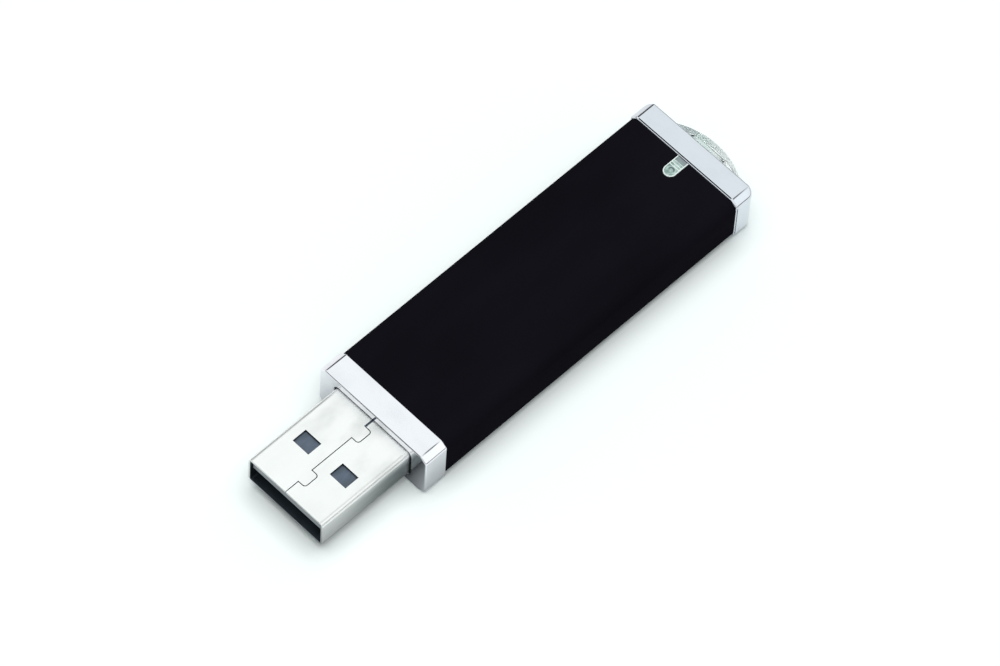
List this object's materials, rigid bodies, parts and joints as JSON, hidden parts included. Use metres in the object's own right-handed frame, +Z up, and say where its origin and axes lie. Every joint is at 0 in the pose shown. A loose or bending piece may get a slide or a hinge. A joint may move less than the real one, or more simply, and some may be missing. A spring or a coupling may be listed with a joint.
{
  "type": "usb flash drive",
  "caption": "Pocket memory stick: flat black sleeve with bright bevelled end pieces, a steel plug in front and a clear light guide that ends in a lanyard loop.",
  "frame": {"origin": "under the middle of the whole object, at the level of its lowest face", "axes": "+Z up through the flat faces, +Y from the plug's tip to the lanyard loop, +X across the width"},
  "size_m": [0.0172, 0.0684, 0.0073],
  "materials": {
    "sleeve_plastic": "fine matte, soft-touch black",
    "bright_trim": "bright plated, slightly cool",
    "clear_plastic": "clear, faintly green, polished",
    "plug_steel": "nickel plated, satin",
    "insulator_plastic": "moulded, dark grey",
    "contact_plating": "gold plated",
    "board_laminate": "green solder mask",
    "chip_plastic": "moulded epoxy",
    "lead_tin": "tin plated",
    "part_ceramic": "fired ceramic",
    "lid_metal": "satin lid",
    "led_white": "moulded white",
    "led_clear": "clear resin",
    "resistor_black": "glazed black",
    "ferrite_grey": "sintered grey"
  },
  "bodies": {
    "root": {"body_sleeve": "sleeve_plastic", "front_bezel": "bright_trim", "rear_cap": "bright_trim", "light_guide_loop": "clear_plastic", "plug_shell": "plug_steel", "plug_insulator": "insulator_plastic", "contact_power": "contact_plating", "contact_data_minus": "contact_plating", "contact_data_plus": "contact_plating", "contact_ground": "contact_plating", "circuit_board": "board_laminate", "controller_chip": "chip_plastic", "controller_leads": "lead_tin", "memory_chip": "chip_plastic", "memory_leads": "lead_tin", "crystal_base": "part_ceramic", "crystal_lid": "lid_metal", "voltage_regulator": "chip_plastic", "regulator_leads": "lead_tin", "led_base": "led_white", "led_capsule": "led_clear", "capacitors": "part_ceramic", "resistors": "resistor_black", "ferrite_bead": "ferrite_grey"}
  },
  "joints": []
}
